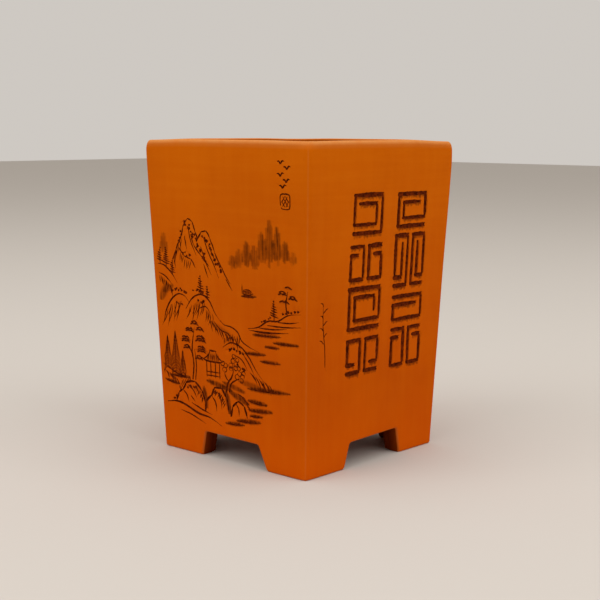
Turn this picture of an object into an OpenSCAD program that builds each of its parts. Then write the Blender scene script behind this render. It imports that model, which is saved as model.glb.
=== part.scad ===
// Square clay brush pot, slab built, on four corner feet.
// Z is up, and the origin is the middle of the footprint on the table. The landscape wall faces -X and the
// ornament wall faces -Y, so the front corner is the one at -X, -Y.

/* [Body] */
// Height from the table to the rim
height = 140; // [120:1:180]
// Width across the rim, face to face
rim_w = 98.6; // [92:0.2:120]
// Width across the foot, face to face
foot_w = 87.4; // [84:0.2:110]
// Thickness of the wall slabs
wall_t = 6; // [5:0.5:8]
// Radius of the outer vertical corners
corner_r = 2.5; // [1.5:0.25:4]
// Radius that rounds both edges of the rim
rim_r = 1.8; // [1:0.1:2.2]

/* [Floor and joints] */
// Height of the floor's underside above the table
floor_z = 14; // [13:0.5:18]
// Thickness of the floor slab
floor_t = 6; // [4:0.5:8]
// Radius of the clay coils pressed into the inner joints
coil_r = 4; // [3:0.5:5]
// Thickness left at a coil's smoothed edge
coil_edge = 0.4; // [0.3:0.1:0.8]
// Distance from the rim to the top of the corner coils
coil_stop = 4; // [3:0.5:10]

/* [Feet] */
// Thickness of the feet at an arch, wall slab included
foot_t = 9; // [8.5:0.5:12]
// Width of an arch at the table
arch_foot_w = 39; // [36:0.5:44]
// Width of an arch at its top
arch_top_w = 32.6; // [28:0.2:36]
// Height of an arch
arch_h = 11.2; // [8:0.2:12]
// Radius in an arch's upper corners
arch_r = 1.4; // [0.6:0.2:3]

/* [Decoration] */
// Depth of the pigment-filled lines
cut_depth = 0.5; // [0.3:0.1:1]
// Width of the large ornament's lines
fret_line = 1.5; // [1:0.1:2]
// Distance between the large ornament's lines, middle to middle
fret_pitch = 3.6; // [3.2:0.1:3.8]
// Width of the landscape's outlines
brush_line = 0.9; // [0.6:0.1:1.2]
// Width of the landscape's fine lines
fine_line = 0.6; // [0.4:0.1:0.8]

/* [Hidden] */
$fn = 48;

clay = "chocolate";
worn_clay = "peru";
pigment = "saddlebrown";

// The walls lean out by this much per unit of height.
slope = (rim_w - foot_w) / 2 / height;
lean = atan(slope);
// The vertical corners lean along a diagonal.
corner_lean = atan(slope * sqrt(2));
// Level distances for thicknesses that are measured square to a wall.
wall_level = wall_t / cos(lean);
foot_level = foot_t / cos(lean);
floor_top = floor_z + floor_t;
coil_top = height - coil_stop;
// How far a coil reaches from its corner, up to its smoothed edge.
coil_reach = coil_r - coil_edge;
// Further out than any part of the pot.
reach = rim_w;
// What a rounding tool is oversize by, so that it breaks through a face and doesn't only graze it.
hair = 0.02;

// The walls in order, each a quarter turn clockwise from the one before, seen from above.
ORNAMENT = 0;
LANDSCAPE = 1;
BACK_LEFT = 2;
BACK_RIGHT = 3;

// Each arch was cut by hand, so its corners are a little off: how far the foot-left, top-left, top-right
// and foot-right corners lie to the right of their true places, and how far the top corners lie above.
ARCH_OFF = [
    [[0.9, 0.9, 0.9, 0.4], [0, 0.7]],
    [[1.1, 0.4, 0.1, 1.9], [0, -0.4]],
    [[0.4, 0.2, 0.6, 0.2], [0.2, 0]],
    [[0, -0.4, 0.3, 0.6], [-0.2, 0.3]]
];

// ---- Shared geometry ----

// Half the width across the outer faces at height z.
function half(z) = foot_w / 2 + slope * z;

// Everything between the -Y and +Y faces moved in by inset, from z0 to z1.
module between_faces(inset, z0, z1) {
    low = half(z0) - inset;
    high = half(z1) - inset;
    rotate([90, 0, 90])
        linear_extrude(2 * reach, center = true)
            polygon([[-low, z0], [low, z0], [high, z1], [-high, z1]]);
}

// The tapered square block inside all four faces moved in by inset.
module tapered_block(inset, z0, z1) {
    intersection() {
        between_faces(inset, z0, z1);
        rotate([0, 0, 90]) between_faces(inset, z0, z1);
    }
}

// The quarter of the pot behind one wall, cut at the mitred corners.
module quarter(z0, z1) {
    translate([0, 0, z0])
        linear_extrude(z1 - z0)
            polygon([[0, 0], [-reach, -reach], [reach, -reach]]);
}

// The quarter of the pot around the front corner.
module corner_quarter(z0, z1) {
    translate([-reach, -reach, z0]) cube([reach, reach, z1 - z0]);
}

// A round bar along the front corner, its axis inset from both faces. It runs past the pot at both ends.
module corner_bar(inset, r) {
    at = half(0) - inset;
    past = height / 4;
    translate([-at, -at, 0])
        rotate([0, corner_lean, 225])
            translate([0, 0, -past])
                cylinder(r = r, h = height + 2 * past);
}

// Turns a wall's own place, facing -Y, to the place of another wall.
module at_wall(side) {
    rotate([0, 0, -90 * side]) children();
}

// Extrudes a drawing on a wall's face, X to the right and Y up, into the wall's own place.
module through_wall() {
    rotate([90, 0, 0]) linear_extrude(reach) children();
}

// ---- Walls ----

// What a round edge of radius r about the origin leaves of its upper left quarter.
module edge_waste(r) {
    difference() {
        translate([-2 * r, 0]) square(2 * r);
        circle(r + hair);
    }
}

// A wall slab's section, with its outer face to the left and both rim edges rounded.
module wall_section() {
    edge_in = rim_r / cos(lean);
    edge_z = height - rim_r;
    difference() {
        polygon([
            [-half(0), 0],
            [-half(height), height],
            [-half(height) + wall_level, height],
            [-half(0) + wall_level, 0]
        ]);
        translate([-half(edge_z) + edge_in, edge_z]) edge_waste(rim_r);
        translate([-half(edge_z) + wall_level - edge_in, edge_z]) mirror([1, 0]) edge_waste(rim_r);
    }
}

// What is rounded away from the front vertical corner.
module corner_waste() {
    inset = corner_r / cos(lean);
    difference() {
        corner_quarter(-1, height + 1);
        between_faces(inset, -2, height + 2);
        rotate([0, 0, 90]) between_faces(inset, -2, height + 2);
        corner_bar(inset, corner_r + hair);
    }
}

// The wall without its arch, mitred at both ends and rounded at the vertical corners.
module wall_blank() {
    difference() {
        intersection() {
            rotate([90, 0, 90]) linear_extrude(2 * reach, center = true) wall_section();
            quarter(0, height);
        }
        corner_waste();
        mirror([1, 0, 0]) corner_waste();
    }
}

// A circle of radius r that touches both sides of the corner b of an outline a, b, c: where it touches the
// side towards a, and where its middle is.
function unit(v) = v / norm(v);
function corner_half_angle(a, b, c) = acos(unit(a - b) * unit(c - b)) / 2;
function touch(a, b, c, r) = b + unit(a - b) * r / tan(corner_half_angle(a, b, c));
function middle(a, b, c, r) =
    b + unit(unit(a - b) + unit(c - b)) * r / sin(corner_half_angle(a, b, c));

// One arch's foot-left, top-left, top-right and foot-right corners.
function arch_corners(side) =
    let (right = ARCH_OFF[side][0], up = ARCH_OFF[side][1])
    [
        [right[0] - arch_foot_w / 2, 0],
        [right[1] - arch_top_w / 2, arch_h + up[0]],
        [right[2] + arch_top_w / 2, arch_h + up[1]],
        [right[3] + arch_foot_w / 2, 0]
    ];

// One arch's outline on its wall, with rounded upper corners.
module arch_outline(side) {
    corners = arch_corners(side);
    foot_left = corners[0];
    top_left = corners[1];
    top_right = corners[2];
    foot_right = corners[3];
    below = [0, -1];
    polygon([
        foot_left + below,
        foot_left,
        touch(foot_left, top_left, top_right, arch_r),
        touch(top_right, top_left, foot_left, arch_r),
        touch(top_left, top_right, foot_right, arch_r),
        touch(foot_right, top_right, top_left, arch_r),
        foot_right,
        foot_right + below
    ]);
    translate(middle(foot_left, top_left, top_right, arch_r)) circle(arch_r + hair);
    translate(middle(top_left, top_right, foot_right, arch_r)) circle(arch_r + hair);
}

module plain_wall(side) {
    at_wall(side)
        difference() {
            wall_blank();
            through_wall() arch_outline(side);
        }
}

// ---- Decoration: lines cut into a face and filled level with pigment ----

// The outer skin of a wall that the pigment fills, from proud of the face to the cut's depth.
module skin(proud) {
    rotate([90, 0, 90])
        linear_extrude(2 * reach, center = true)
            polygon([
                [-half(0) - proud, 0],
                [-half(0) + cut_depth, 0],
                [-half(height) + cut_depth, height],
                [-half(height) - proud, height]
            ]);
}

module inlay(side) {
    at_wall(side)
        intersection() {
            skin(0);
            through_wall() children();
        }
}

// The wall with its drawing cut out of it, ready for the inlay.
module wall_cut_for(side) {
    difference() {
        plain_wall(side);
        at_wall(side)
            intersection() {
                skin(1);
                through_wall() children();
            }
    }
}

// Corner k of a square spiral, w wide and h tall, that winds in from its lower left corner.
function spiral_point(w, h, k) =
    let (turn = floor((k - 1) / 4), in = turn * fret_pitch, corner = (k - 1) % 4)
    k == 0 ? [0, 0]
    : corner == 0 ? [w - in, in]
    : corner == 1 ? [w - in, h - in]
    : corner == 2 ? [in, h - in]
    : [in, in + fret_pitch];

// A straight level or upright line from a to b, square at both ends.
module bar(a, b, w) {
    low = [min(a[0], b[0]), min(a[1], b[1])] - [w, w] / 2;
    high = [max(a[0], b[0]), max(a[1], b[1])] + [w, w] / 2;
    translate(low) square(high - low);
}

// A square spiral of this many straight lines.
module spiral(w, h, legs) {
    for (k = [1 : legs])
        bar(spiral_point(w, h, k - 1), spiral_point(w, h, k), fret_line);
}

// Half of a block: one spiral that leaves a line's distance to the block's middle.
module half_block(w, h, legs) {
    each_w = (w - fret_pitch) / 2;
    translate([-each_w - fret_pitch / 2, -h / 2]) spiral(each_w, h, legs);
}

// A block of two spirals side by side, back to back.
module twin(w, h, legs) {
    half_block(w, h, legs);
    mirror([1, 0]) half_block(w, h, legs);
}

// A block of one spiral.
module single(w, h, legs) {
    translate([-w / 2, -h / 2]) spiral(w, h, legs);
}

// The ornament: two columns of four square-spiral blocks, like the bands on old bronzes. Each block has its
// middle's place, its width, its height and its number of lines.
module fret_lines() {
    left_column = -10;
    right_column = 20;
    translate([left_column, 109.5]) single(18, 16, 7);
    translate([left_column, 89]) mirror([0, 1]) twin(20, 14, 5);
    translate([left_column, 69.5]) mirror([1, 0]) single(20, 17, 8);
    translate([left_column, 49]) twin(20, 14, 5);
    translate([right_column, 110]) mirror([1, 0]) single(19, 14, 7);
    translate([right_column, 88]) twin(20, 22, 6);
    translate([right_column, 67]) mirror([0, 1]) single(20, 10, 5);
    translate([right_column, 49.5]) mirror([0, 1]) twin(20, 16, 5);
}

// A brush line through the points p: which way it heads at point i, the share of its width that it has t of
// the way along, and one of its two banks.
function heading(p, i) = unit(p[min(i + 1, len(p) - 1)] - p[max(i - 1, 0)]);
function swell(t) = 0.4 + 0.6 * sin(180 * t);
function bank(p, w, side) = [
    for (i = [0 : len(p) - 1])
        p[i] + side * w / 2 * swell(i / (len(p) - 1)) * [-heading(p, i)[1], heading(p, i)[0]]
];
function backwards(p) = [for (i = [len(p) - 1 : -1 : 0]) p[i]];

// A line through the points p, w wide in its middle and thinner at both ends.
module brush(p, w) {
    polygon(concat(bank(p, w, 1), backwards(bank(p, w, -1))));
}

// A level dash with a slight rise to the right.
module dash(at, w) {
    brush([at - [w / 2, 0.2], at, at + [w / 2, 0.3]], brush_line);
}

// A branch that droops away from the trunk, to the right (way 1) or the left (way -1).
module branch(at, way, spread) {
    brush([at + [0.8 * way, 0.2], at + [spread * way, -0.5], at + [(spread + 0.8) * way, -1]], fine_line);
}

// A conifer: an upright trunk line and rows of branches, longer towards its foot.
module pine(at, tall, rows) {
    short = 1;
    longer = 3;
    brush([at, at + [0.2, tall / 2], at + [0, tall]], fine_line);
    for (k = [1 : rows], way = [-1, 1])
        branch(at + [0, tall * (1 - k / (rows + 1))], way, short + longer * k / rows);
}

// The landscape's main lines: twin peaks, round hills and their slope to the water, a headland, a low hill,
// a pavilion, boulders, shore and trees.
module landscape_lines() {
    shore_dash = 10;
    // Twin peaks
    brush([[-33, 87], [-30, 92.5], [-27, 97.5], [-25.5, 102], [-22.5, 105.5], [-19.5, 104], [-17.5, 99]],
        brush_line);
    brush([[-15.5, 98.5], [-13, 101], [-10, 100], [-6, 92], [-2, 86], [2.5, 79.5]], brush_line);
    // Round hills, and the slope that steps down to the water
    brush([[-40, 59], [-37.5, 65.5], [-33.5, 70], [-28.5, 71.8], [-24.5, 69.5]], brush_line);
    brush([[-25.5, 66], [-21, 70.8], [-15.5, 73], [-10.5, 70.6], [-7.5, 66]], brush_line);
    brush([[-5, 63.5], [-1.5, 61], [3, 60.4], [6.5, 58.5], [9, 55], [12.5, 53], [18, 51.6]], brush_line);
    // Headland
    brush([[13, 61.4], [18.5, 62.4], [24.5, 65.4], [30, 66], [36, 69], [41, 70]], brush_line);
    brush([[17, 59], [24, 60], [31, 60.5], [39, 62]], brush_line);
    // Low hill
    brush([[-3, 51], [2, 53.6], [8, 52.4], [12.5, 48.5], [16.5, 43.5], [21, 39]], brush_line);
    // Pavilion: roof, eaves and posts
    brush([[-13, 47], [-11, 49.2], [-7.8, 49.2], [-5.8, 47]], fine_line);
    brush([[-15, 45.6], [-12, 44.6], [-6.8, 44.6], [-3.8, 45.6]], fine_line);
    for (x = [-12.4, -9.4, -6.4])
        brush([[x, 43.4], [x, 40.4], [x, 37.4]], fine_line);
    // Boulders and the ground before them
    brush([[-34, 23], [-32, 27], [-29.5, 28.8], [-27, 32], [-21, 33], [-17, 29.4], [-15.8, 25]], brush_line);
    brush([[-13.6, 22], [-12.6, 26.6], [-9, 32], [-4.4, 32.4], [-1.4, 28], [-0.6, 22.6]], brush_line);
    brush([[1.6, 21], [2.6, 25.4], [5.4, 28], [8.8, 26.4], [10.2, 22.6]], brush_line);
    brush([[-39, 20], [-33, 20.6], [-26, 19.6], [-19, 17.6], [-11, 16.6], [-5, 15.4]], brush_line);
    // Shore and water
    for (at = [[27, 47.8], [21, 55.6], [34, 57], [27, 35.2], [18, 30.4], [20, 26], [16, 20.8], [5, 17.2]])
        dash(at, shore_dash);
    dash([-36, 31.2], shore_dash);
    // Trees: foot, height and rows of branches
    pine([-37, 80], 9, 3);
    pine([-15.6, 74.6], 8, 3);
    pine([35.6, 70.6], 9, 2);
    pine([-38, 38], 18, 6);
    pine([-32.5, 37], 12, 4);
    pine([-21, 36], 22, 6);
}

// ---- Floor, feet and joints ----

module floor_slab() {
    color(clay) tapered_block(wall_level, floor_z, floor_top);
}

// The clay block that thickens the corner at a wall's left end, between the arches on its two walls.
module foot(side) {
    at_wall(side)
        difference() {
            intersection() {
                tapered_block(wall_level, 0, floor_z);
                corner_quarter(0, floor_z);
            }
            tapered_block(foot_level, -1, floor_z + 1);
            foot_gap(side);
            rotate([0, 0, -90]) foot_gap((side + 1) % 4);
        }
}

// An arch carried on up to the floor, which parts the two feet on its wall.
module foot_gap(side) {
    left = arch_corners(side)[1][0];
    right = arch_corners(side)[2][0];
    through_wall() {
        arch_outline(side);
        translate([left, arch_h / 2]) square([right - left, floor_z]);
    }
}

// The coil in one inner vertical corner, hollowed by a round tool.
module corner_seam(side) {
    inset = wall_level + coil_reach;
    at_wall(side)
        difference() {
            intersection() {
                tapered_block(wall_level, floor_top, coil_top);
                corner_quarter(floor_top, coil_top);
            }
            between_faces(inset, floor_top - 1, coil_top + 1);
            rotate([0, 0, 90]) between_faces(inset, floor_top - 1, coil_top + 1);
            corner_bar(wall_level + coil_r, coil_r);
        }
}

// The coil between the floor and one wall, from one corner coil to the next.
module floor_seam(side) {
    wall_at = wall_level - half(floor_top);
    at_wall(side)
        intersection() {
            rotate([90, 0, 90])
                linear_extrude(2 * reach, center = true)
                    difference() {
                        polygon([
                            [wall_at, floor_top],
                            [wall_at - slope * coil_reach, floor_top + coil_reach],
                            [wall_at + coil_reach, floor_top + coil_reach],
                            [wall_at + coil_reach, floor_top]
                        ]);
                        translate([wall_at, floor_top] + coil_r * [1, 1]) circle(coil_r);
                    }
            rotate([0, 0, 90])
                between_faces(wall_level + coil_reach, floor_top, floor_top + coil_reach);
        }
}

color(clay) wall_cut_for(LANDSCAPE) landscape_lines();  // landscape_wall
color(clay) wall_cut_for(ORNAMENT) fret_lines();  // ornament_wall
color(clay) plain_wall(BACK_LEFT);  // back_left_wall
color(clay) plain_wall(BACK_RIGHT);  // back_right_wall
floor_slab();
color(clay) foot(ORNAMENT);  // front_foot
color(clay) foot(LANDSCAPE);  // left_foot
color(clay) foot(BACK_LEFT);  // back_foot
color(clay) foot(BACK_RIGHT);  // right_foot
color(worn_clay) corner_seam(ORNAMENT);  // front_corner_seam
color(worn_clay) corner_seam(LANDSCAPE);  // left_corner_seam
color(worn_clay) corner_seam(BACK_LEFT);  // back_corner_seam
color(worn_clay) corner_seam(BACK_RIGHT);  // right_corner_seam
color(worn_clay) floor_seam(ORNAMENT);  // ornament_floor_seam
color(worn_clay) floor_seam(LANDSCAPE);  // landscape_floor_seam
color(worn_clay) floor_seam(BACK_LEFT);  // back_left_floor_seam
color(worn_clay) floor_seam(BACK_RIGHT);  // back_right_floor_seam
color(pigment) inlay(LANDSCAPE) landscape_lines();  // landscape_inlay
color(pigment) inlay(ORNAMENT) fret_lines();  // fret_inlay
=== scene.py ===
"""A square clay brush pot, slab built, with cut and pigment-filled decoration on two walls.

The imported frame's nodes are replaced one for one by detailed meshes. All lengths are in metres, except in
the drawings, which are in millimetres on a wall's face: u to the right as seen from outside, z up."""

import math
import random

import bpy
import numpy as np
from mathutils import Matrix, Vector
from mathutils.geometry import delaunay_2d_cdt


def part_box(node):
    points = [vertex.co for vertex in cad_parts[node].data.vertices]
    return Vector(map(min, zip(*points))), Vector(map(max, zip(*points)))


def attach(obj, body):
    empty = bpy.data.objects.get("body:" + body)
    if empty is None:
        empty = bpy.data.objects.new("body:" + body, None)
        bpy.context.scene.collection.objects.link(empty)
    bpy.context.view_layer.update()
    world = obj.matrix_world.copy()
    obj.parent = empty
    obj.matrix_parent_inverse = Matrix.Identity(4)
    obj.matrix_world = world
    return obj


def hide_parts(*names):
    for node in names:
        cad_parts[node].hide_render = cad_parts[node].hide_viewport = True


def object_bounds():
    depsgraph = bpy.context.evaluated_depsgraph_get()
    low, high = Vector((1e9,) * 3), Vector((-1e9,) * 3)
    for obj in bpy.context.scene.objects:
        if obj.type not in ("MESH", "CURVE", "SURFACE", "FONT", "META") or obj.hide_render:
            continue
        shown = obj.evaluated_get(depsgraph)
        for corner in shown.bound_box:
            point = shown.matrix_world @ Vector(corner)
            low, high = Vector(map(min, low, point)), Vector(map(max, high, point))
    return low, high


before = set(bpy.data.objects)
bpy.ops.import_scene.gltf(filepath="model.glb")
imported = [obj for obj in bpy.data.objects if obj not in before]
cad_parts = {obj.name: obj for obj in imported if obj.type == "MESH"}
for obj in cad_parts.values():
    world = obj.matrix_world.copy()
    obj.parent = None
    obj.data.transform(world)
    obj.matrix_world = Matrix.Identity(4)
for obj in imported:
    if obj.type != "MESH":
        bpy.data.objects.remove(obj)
cad_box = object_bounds()

MM = 0.001

# ---- The pot's dimensions, from the frame ----

HEIGHT = cad_box[1].z
FLOOR_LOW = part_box("floor_slab")[0].z
FLOOR_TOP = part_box("floor_slab")[1].z
COIL_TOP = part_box("front_corner_seam")[1].z
ARCH_TOP = 11.2 * MM
SLOPE = 0.04  # how far a wall leans out for each unit of height
FOOT_HALF = -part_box("fret_inlay")[0].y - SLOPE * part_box("fret_inlay")[1].z
WALL = FOOT_HALF + SLOPE * FLOOR_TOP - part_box("floor_slab")[1].x
FOOT = 3 * MM  # how far the feet stand in from the walls
ARRIS_R = 2.5 * MM
RIM_R = 1.8 * MM
TIP_R = 4.6 * MM  # how far down the rim's four corners are worn round
TIP_DROP = 0.5  # and how far in, as a share of that
TIP_REACH = 30 * MM  # how far along the rim from a corner its wear is felt
WORN_R = 0.9 * MM  # the worn edges of the feet and arches
COIL_R = 3.8 * MM
ARCH_R = 1.4 * MM
SKIN_OVER = 0.02 * MM  # how far the pigment stands over the clay in a cut
SKIN_UNDER = 0.05 * MM  # and how far it goes down into it
WASH_STEP = 0.62  # between the points that carry the washes, in millimetres
QUARTER = math.pi / 4

# The walls in order, each a quarter turn clockwise from the one before, seen from above.
ORNAMENT, LANDSCAPE, BACK_LEFT, BACK_RIGHT = range(4)
SIDES = ["ornament", "landscape", "back_left", "back_right"]
# The corner at the left end of each wall, seen from outside.
CORNERS = ["front", "left", "back", "right"]

# How far each corner swells out below the rim, how far its tip is worn down, and how much further out than
# its round arris it stands, in the corners' order.
SWELLS = [0.26 * MM, 0.12 * MM, 0.22 * MM, 0.34 * MM]
WORN_TIPS = [0.2 * MM, 0.5 * MM, 0.35 * MM, 0.7 * MM]
CRISPNESS = [0.1 * MM, 0, 0.2 * MM, 0.42 * MM]

# Each arch on its wall: the foot-left, top-left, top-right and foot-right corners, in millimetres.
ARCHES = [
    [(-18.6, 0), (-15.4, 11.2), (17.2, 11.9), (19.9, 0)],
    [(-18.4, 0), (-15.9, 11.2), (16.4, 10.8), (21.4, 0)],
    [(-19.1, 0), (-16.1, 11.4), (16.9, 11.2), (19.7, 0)],
    [(-19.5, 0), (-16.7, 11.0), (16.6, 11.5), (20.1, 0)],
]


def half(z):
    """Half the width across the outer faces at height z."""
    return FOOT_HALF + SLOPE * z


def reach(z):
    """How far a face runs from its middle to the mitred corner, along its rounded surface."""
    return half(z) - ARRIS_R + ARRIS_R * QUARTER


# ---- Small tools ----


def smoothstep(low, high, x):
    t = np.clip((x - low) / (high - low), 0, 1)
    return t * t * (3 - 2 * t)


def unit(v):
    return v / np.linalg.norm(v)


def mirrored(points, u, way):
    """Points given as offsets from a middle line, placed on one side of it."""
    return [(u + way * off, z) for off, z in points]


def waves(seed, count, shortest, longest):
    """A smooth random field over a plane, about -1 to 1, the same one each time."""
    rng = random.Random(seed)
    terms = []
    for _ in range(count):
        step = 2 * math.pi / math.exp(rng.uniform(math.log(shortest), math.log(longest)))
        turn = rng.uniform(0, 2 * math.pi)
        terms.append((step * math.cos(turn), step * math.sin(turn), rng.uniform(0, 2 * math.pi)))

    def field(u, v):
        return sum(np.sin(a * u + b * v + c) for a, b, c in terms) / math.sqrt(count)

    return field


def turned(points, side):
    """Points in the ornament wall's own place, moved to another wall's place."""
    p = np.array(points, dtype=float)
    for _ in range(side):
        p = np.stack([p[:, 1], -p[:, 0], p[:, 2]], axis=1)
    return p


def link_object(name, data):
    item = bpy.data.objects.new(name, data)
    bpy.context.collection.objects.link(item)
    return item


def new_object(name, points, faces, material, node, sharp=35):
    """A mesh piece that rides on the pot and stands for a CAD node."""
    mesh = bpy.data.meshes.new(name)
    mesh.from_pydata([tuple(p) for p in points], [], [tuple(f) for f in faces])
    mesh.materials.append(material)
    mesh.polygons.foreach_set("use_smooth", [True] * len(mesh.polygons))
    mesh.set_sharp_from_angle(angle=math.radians(sharp))
    piece = link_object(name, mesh)
    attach(piece, "root")
    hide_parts(node)
    return piece


def set_looks(piece, wear_and_sheen, wash, shade):
    """What the clay material reads at each point: paler edges (wear and painted highlight), pigment stain
    and painted shade.
    """
    for name, values in (("wear_and_sheen", wear_and_sheen), ("wash", wash), ("shade", shade)):
        layer = piece.data.attributes.new(name, "FLOAT", "POINT")
        layer.data.foreach_set("value", np.asarray(values, dtype=np.float32))


def loft(rings):
    """The skin over rings of equal length, closed at both ends."""
    n = len(rings[0])
    points = [p for ring in rings for p in ring]
    faces = []
    for k in range(len(rings) - 1):
        for i in range(n):
            j = (i + 1) % n
            faces.append((k * n + i, k * n + j, (k + 1) * n + j, (k + 1) * n + i))
    last = (len(rings) - 1) * n
    faces.append(tuple(range(n - 1, -1, -1)))
    faces.append(tuple(last + i for i in range(n)))
    return points, faces


# ---- Materials ----


def srgb(r, g, b):
    """A colour given as 0-255 sRGB, as the linear colour that a shader takes."""
    def linear(c):
        return c / 255 / 12.92 if c <= 10 else ((c / 255 + 0.055) / 1.055) ** 2.4
    return (linear(r), linear(g), linear(b), 1)


class Shader:
    """A material's node tree, with short names for the nodes that it uses."""

    def __init__(self, name):
        self.material = bpy.data.materials.new(name)
        self.material.use_nodes = True
        self.tree = self.material.node_tree
        self.bsdf = self.tree.nodes["Principled BSDF"]
        self.place = self.tree.nodes.new("ShaderNodeTexCoord").outputs["Object"]

    def wire(self, item, socket):
        """Sets a socket to a number or colour, or links it to another node's output."""
        if isinstance(item, (int, float, tuple)):
            socket.default_value = item
        else:
            self.tree.links.new(item, socket)

    def node(self, kind, inputs):
        """A new node, with its inputs set or linked by name or number."""
        node = self.tree.nodes.new("ShaderNode" + kind)
        for name, item in inputs.items():
            self.wire(item, node.inputs[name])
        return node

    def surface(self, inputs):
        for name, item in inputs.items():
            self.wire(item, self.bsdf.inputs[name])

    def noise(self, scale, detail=2.0, rough=0.5, stretch=(1, 1, 1)):
        place = self.node("Mapping", {"Scale": stretch, "Vector": self.place}).outputs["Vector"]
        inputs = {"Scale": scale, "Detail": detail, "Roughness": rough, "Vector": place}
        return self.node("TexNoise", inputs).outputs["Fac"]

    def spread(self, value, low, high, to_low=0.0, to_high=1.0):
        inputs = {"Value": value, "From Min": low, "From Max": high, "To Min": to_low, "To Max": to_high}
        return self.node("MapRange", inputs).outputs["Result"]

    def math(self, kind, a, b):
        node = self.node("Math", {0: a, 1: b})
        node.operation = kind
        return node.outputs["Value"]

    def mix(self, fac, a, b):
        node = self.tree.nodes.new("ShaderNodeMix")
        node.data_type = "RGBA"
        self.wire(fac, node.inputs[0])
        self.wire(a, node.inputs[6])
        self.wire(b, node.inputs[7])
        return node.outputs[2]

    def attribute(self, name):
        node = self.node("Attribute", {})
        node.attribute_name = name
        return node.outputs["Fac"]

    def height(self):
        return self.node("SeparateXYZ", {"Vector": self.place}).outputs["Z"]

    def bump(self, value, strength, distance, under=None):
        inputs = {"Strength": strength, "Distance": distance, "Height": value}
        if under is not None:
            inputs["Normal"] = under
        return self.node("Bump", inputs).outputs["Normal"]


INK = srgb(66, 22, 2)


def clay(name, body, wear_and_sheen, dark):
    """Fine unglazed clay: cloudy colour, faint burnishing streaks, fine grain and pigment stains, with
    painted light (upper walls lighter, foot redder), paler edges that are partly wear and partly a painted
    highlight, and painted shade where the shade attribute is set."""
    s = Shader(name)
    cloud = s.spread(s.noise(34, 3, 0.55), 0.35, 0.65)
    streak = s.spread(s.noise(300, 3, 0.5, (1, 1, 0.08)), 0.4, 0.7)
    wiped = s.spread(s.noise(420, 3, 0.5, (0.05, 0.05, 1)), 0.42, 0.68)
    speck = s.spread(s.noise(2600, 1, 0.5), 0.7, 0.8)
    high = s.spread(s.height(), 0.05, 0.14)
    low = s.spread(s.height(), 0.035, 0.0)
    colour = s.mix(s.math("MULTIPLY", cloud, 0.85), body, dark)
    # Painted light: the upper walls lighter and yellower, as if the lamps above light them more.
    colour = s.mix(s.math("MULTIPLY", high, 0.34), colour, srgb(210, 114, 4))
    # Painted light: the lowest 35 mm redder and brighter, standing in for light bounced up from the floor.
    colour = s.mix(s.math("MULTIPLY", low, 0.6), colour, srgb(214, 86, 0))
    colour = s.mix(s.math("MULTIPLY", streak, 0.08), colour, srgb(216, 118, 18))
    # Burnishing streaks, shown only on the upper walls through the same painted-light mask.
    colour = s.mix(s.math("MULTIPLY", s.math("MULTIPLY", wiped, high), 0.15), colour, srgb(216, 118, 18))
    colour = s.mix(s.math("MULTIPLY", speck, 0.3), colour, dark)
    # Painted shade: darkens to deep brown where the shade attribute is set, inside the pot, under the arches
    # and on the feet.
    colour = s.mix(s.attribute("shade"), colour, srgb(72, 17, 2))
    # Paler edges: partly wear, partly a painted highlight (sheen on the rim top, the arrises and the arch
    # edges).
    sheen_and_wear_amount = s.math("MULTIPLY", s.attribute("wear_and_sheen"), s.spread(s.noise(160, 3, 0.6), 0.3, 0.6, 0.7, 1))
    colour = s.mix(sheen_and_wear_amount, colour, wear_and_sheen)
    hatch = s.spread(s.noise(1700, 2, 0.6, (1, 1, 0.045)), 0.36, 0.6, 0.66, 1.12)
    blot = s.spread(s.noise(240, 3, 0.6), 0.3, 0.65, 0.82, 1.1)
    stain = s.math("MULTIPLY", s.math("MULTIPLY", s.attribute("wash"), hatch), blot)
    colour = s.mix(s.math("MINIMUM", stain, 0.95), colour, INK)
    grain = s.bump(s.noise(2400, 3, 0.6), 0.16, 0.0002)
    brushed = s.bump(s.noise(420, 3, 0.5, (1, 1, 0.06)), 0.07, 0.0003, grain)
    s.surface({
        "Base Color": colour,
        "Roughness": s.spread(s.noise(90, 3, 0.6), 0.3, 0.7, 0.55, 0.7),
        "Specular IOR Level": 0.012,
        "Normal": s.bump(s.noise(55, 2, 0.5), 0.12, 0.0012, brushed),
    })
    return s.material


def pigment(name):
    """Matt dark pigment, thinner and browner where the tool skipped."""
    s = Shader(name)
    patchy = s.spread(s.noise(650, 3, 0.6), 0.36, 0.68)
    s.surface({
        "Base Color": s.mix(patchy, srgb(60, 14, 0), srgb(112, 38, 2)),
        "Roughness": s.spread(s.noise(300, 2, 0.5), 0.3, 0.7, 0.6, 0.8),
        "Specular IOR Level": 0.02,
        "Normal": s.bump(s.noise(1800, 3, 0.6), 0.3, 0.0002),
    })
    return s.material


OUTER_CLAY = clay("orange_clay", srgb(198, 86, 0), srgb(212, 144, 82), srgb(189, 77, 0))
# Painted shade: a darker copy of the clay for the floor and coils inside the pot, matched to the walls'
# painted inner shade.
INNER_CLAY_SHADED = clay("inner_clay", srgb(150, 60, 1), srgb(206, 128, 60), srgb(138, 52, 0))
PIGMENT = pigment("dark_pigment")


# ---- Drawing: cut lines and dry-brush washes on a face, in millimetres ----


def curve(points, step):
    """A smooth line through the points, sampled about every step."""
    p = np.array(points, dtype=float)
    if len(p) == 2:
        n = max(2, math.ceil(np.linalg.norm(p[1] - p[0]) / step))
        return p[0] + (p[1] - p[0]) * np.linspace(0, 1, n + 1)[:, None]
    ends = np.concatenate([[2 * p[0] - p[1]], p, [2 * p[-1] - p[-2]]])
    out = []
    for a, b, c, d in zip(ends, ends[1:], ends[2:], ends[3:]):
        n = max(1, math.ceil(np.linalg.norm(c - b) / step))
        t = np.arange(n)[:, None] / n
        bend = 2 * a - 5 * b + 4 * c - d
        twist = 3 * b - a - 3 * c + d
        out.append(0.5 * (2 * b + (c - a) * t + bend * t**2 + twist * t**3))
    return np.concatenate([*out, [p[-1]]])


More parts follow.
